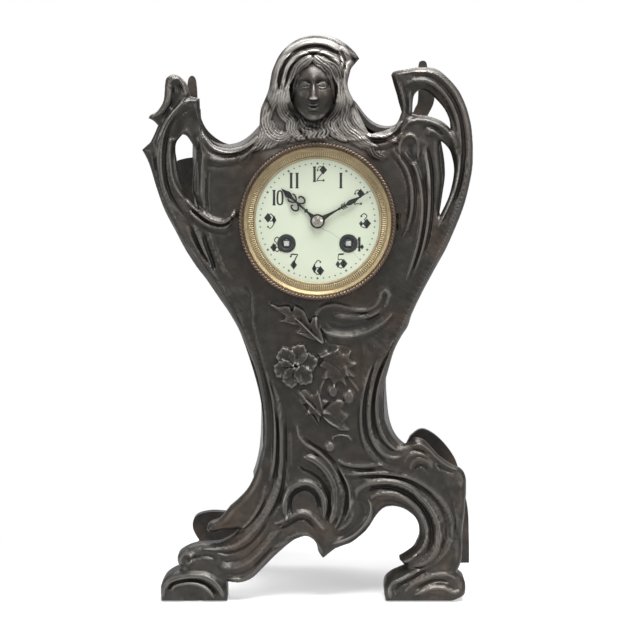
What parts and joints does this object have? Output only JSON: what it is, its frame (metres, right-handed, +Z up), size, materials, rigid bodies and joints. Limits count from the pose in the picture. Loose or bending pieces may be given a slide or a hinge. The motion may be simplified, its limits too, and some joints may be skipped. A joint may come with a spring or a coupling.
{
  "type": "figural mantel clock",
  "caption": "Figural mantel clock: whiplash-moulded metal case with a hooded female mask over a round enamel dial, pierced scroll arms, scroll feet and a striking pendulum movement.",
  "frame": {"origin": "the middle of the overall box, on the surface that the feet stand on", "axes": "+Z up, +X to the viewer's right from the front, +Y from the dial to the back"},
  "size_m": [0.2527, 0.162, 0.4205],
  "materials": {
    "patinated_spelter": "dark bronze patina, satin",
    "brass": "lacquered, satin",
    "gilt_brass": "aged gilding, embossed",
    "steel": "polished",
    "blackened_steel": "blackened",
    "nickel": "worn nickel",
    "enamel": "glossy vitreous enamel",
    "glass": "clear",
    "bell_metal": "nickelled bell metal, dull"
  },
  "bodies": {
    "case": {"case_front": "patinated_spelter", "case_back": "patinated_spelter", "side_panel_left": "patinated_spelter", "side_panel_right": "patinated_spelter", "case_roof": "patinated_spelter", "case_screws": "steel", "dial_ring": "brass", "dial": "enamel", "sight_ring": "gilt_brass", "dial_plate": "brass", "dial_pillars": "brass", "hinge_pins": "brass", "front_plate": "brass", "back_plate": "brass", "plate_pillars": "brass", "pillar_nuts": "steel", "front_plate_studs": "steel", "movement_straps": "brass", "strap_screws": "steel", "back_cock": "brass", "suspension_block": "brass", "bell": "bell_metal", "bell_standard": "steel", "rear_bezel": "brass"},
    "glazed_bezel": {"front_bezel": "gilt_brass", "glass": "glass"},
    "back_door": {"rear_door": "brass"},
    "minute_arbor": {"centre_arbor": "steel", "centre_wheel": "brass", "cannon_pinion": "brass", "minute_hand": "blackened_steel", "hand_nut": "nickel"},
    "hour_pipe": {"hour_wheel": "brass", "hour_hand": "blackened_steel"},
    "motion_wheel": {"minute_wheel": "brass"},
    "intermediate": {"intermediate_arbor": "steel", "intermediate_wheel": "brass"},
    "going_drum": {"time_barrel": "brass"},
    "third": {"third_wheel": "brass"},
    "escape": {"escape_wheel": "brass"},
    "anchor_and_crutch": {"anchor": "steel", "anchor_arbor": "steel"},
    "pendulum": {"suspension_spring": "steel", "pendulum_rod": "steel", "pendulum_bob": "brass"},
    "rating": {"rating_nut": "brass"},
    "going_square": {"time_winding_arbor": "steel", "time_ratchet": "steel"},
    "going_pawl": {"time_click": "steel"},
    "striking_square": {"strike_winding_arbor": "steel", "strike_ratchet": "steel"},
    "striking_pawl": {"strike_click": "steel"},
    "second_and_count": {"strike_second_wheel": "brass", "count_wheel": "brass"},
    "striking_drum": {"strike_barrel": "brass"},
    "lifting_pins": {"pin_wheel": "brass"},
    "locking": {"locking_wheel": "brass"},
    "fan": {"fly": "brass"},
    "hammer_arm": {"hammer": "steel"},
    "regulator": {"regulating_arbor": "steel"}
  },
  "joints": [
    {"name": "bezel_opening", "type": "hinge", "parent": "case", "child": "glazed_bezel", "pos_m": [0.06371, -0.0534, 0.28358], "axis": [0, 0, 1], "range_deg": [0, 90]},
    {"name": "back_door_opening", "type": "hinge", "parent": "case", "child": "back_door", "pos_m": [-0.05519, 0.0722, 0.28358], "axis": [0, 0, 1], "range_deg": [0, 110]},
    {"name": "minute_turn", "type": "hinge", "parent": "case", "child": "minute_arbor", "pos_m": [0.00361, 0, 0.28358], "axis": [0, 1, 0], "continuous": true},
    {"name": "hour_turn", "type": "hinge", "parent": "case", "child": "hour_pipe", "pos_m": [0.00361, 0, 0.28358], "axis": [0, 1, 0], "continuous": true},
    {"name": "motion_turn", "type": "hinge", "parent": "case", "child": "motion_wheel", "pos_m": [-0.00678, 0, 0.28958], "axis": [0, 1, 0], "continuous": true},
    {"name": "intermediate_turn", "type": "hinge", "parent": "case", "child": "intermediate", "pos_m": [0.01893, 0, 0.28621], "axis": [0, 1, 0], "continuous": true},
    {"name": "going_barrel", "type": "hinge", "parent": "case", "child": "going_drum", "pos_m": [0.02661, 0, 0.26698], "axis": [0, 1, 0], "continuous": true},
    {"name": "third_turn", "type": "hinge", "parent": "case", "child": "third", "pos_m": [-0.00272, 0, 0.29568], "axis": [0, 1, 0], "continuous": true},
    {"name": "escape_turn", "type": "hinge", "parent": "case", "child": "escape", "pos_m": [0.00361, 0, 0.30558], "axis": [0, 1, 0], "continuous": true},
    {"name": "pendulum_swing", "type": "hinge", "parent": "case", "child": "pendulum", "pos_m": [0.00361, 0, 0.31858], "axis": [0, 1, 0], "range_deg": [-4, 4]},
    {"name": "anchor_rock", "type": "hinge", "parent": "case", "child": "anchor_and_crutch", "pos_m": [0.00361, 0, 0.31858], "axis": [0, 1, 0], "range_deg": [-4, 4]},
    {"name": "rating_turn", "type": "hinge", "parent": "pendulum", "child": "rating", "pos_m": [0.00361, 0.0049, 0.145], "axis": [0, 0, 1], "continuous": true},
    {"name": "going_winding", "type": "hinge", "parent": "case", "child": "going_square", "pos_m": [0.02661, 0, 0.26698], "axis": [0, 1, 0], "continuous": true},
    {"name": "going_click_lift", "type": "hinge", "parent": "case", "child": "going_pawl", "pos_m": [0.03087, 0, 0.27612], "axis": [0, 1, 0], "range_deg": [-12, 0]},
    {"name": "striking_winding", "type": "hinge", "parent": "case", "child": "striking_square", "pos_m": [-0.01939, 0, 0.26698], "axis": [0, 1, 0], "continuous": true},
    {"name": "striking_click_lift", "type": "hinge", "parent": "case", "child": "striking_pawl", "pos_m": [-0.01513, 0, 0.27612], "axis": [0, 1, 0], "range_deg": [-12, 0]},
    {"name": "second_turn", "type": "hinge", "parent": "case", "child": "second_and_count", "pos_m": [-0.02475, 0, 0.28698], "axis": [0, 1, 0], "continuous": true},
    {"name": "striking_barrel", "type": "hinge", "parent": "case", "child": "striking_drum", "pos_m": [-0.01939, 0, 0.26698], "axis": [0, 1, 0], "continuous": true},
    {"name": "pin_turn", "type": "hinge", "parent": "case", "child": "lifting_pins", "pos_m": [-0.01755, 0, 0.29945], "axis": [0, 1, 0], "continuous": true},
    {"name": "locking_turn", "type": "hinge", "parent": "case", "child": "locking", "pos_m": [-0.01494, 0, 0.30916], "axis": [0, 1, 0], "continuous": true},
    {"name": "fly_turn", "type": "hinge", "parent": "case", "child": "fan", "pos_m": [-0.00701, 0, 0.31056], "axis": [0, 1, 0], "continuous": true},
    {"name": "hammer_lift", "type": "hinge", "parent": "case", "child": "hammer_arm", "pos_m": [-0.03239, 0, 0.30859], "axis": [0, 1, 0], "range_deg": [0, 12]},
    {"name": "regulator_turn", "type": "hinge", "parent": "case", "child": "regulator", "pos_m": [0.00361, 0, 0.33258], "axis": [0, 1, 0], "continuous": true}
  ],
  "couplings": [
    {"joint": "hour_turn", "follows": "minute_turn", "ratio": 0.083333},
    {"joint": "motion_turn", "follows": "minute_turn", "ratio": -0.33333},
    {"joint": "intermediate_turn", "follows": "minute_turn", "ratio": -0.15625},
    {"joint": "going_barrel", "follows": "minute_turn", "ratio": 0.028783},
    {"joint": "third_turn", "follows": "minute_turn", "ratio": -12},
    {"joint": "escape_turn", "follows": "minute_turn", "ratio": 156},
    {"joint": "anchor_rock", "follows": "pendulum_swing", "ratio": 1},
    {"joint": "striking_barrel", "follows": "second_turn", "ratio": -0.18421},
    {"joint": "pin_turn", "follows": "second_turn", "ratio": -9},
    {"joint": "locking_turn", "follows": "second_turn", "ratio": 77.143},
    {"joint": "fly_turn", "follows": "second_turn", "ratio": -720}
  ]
}
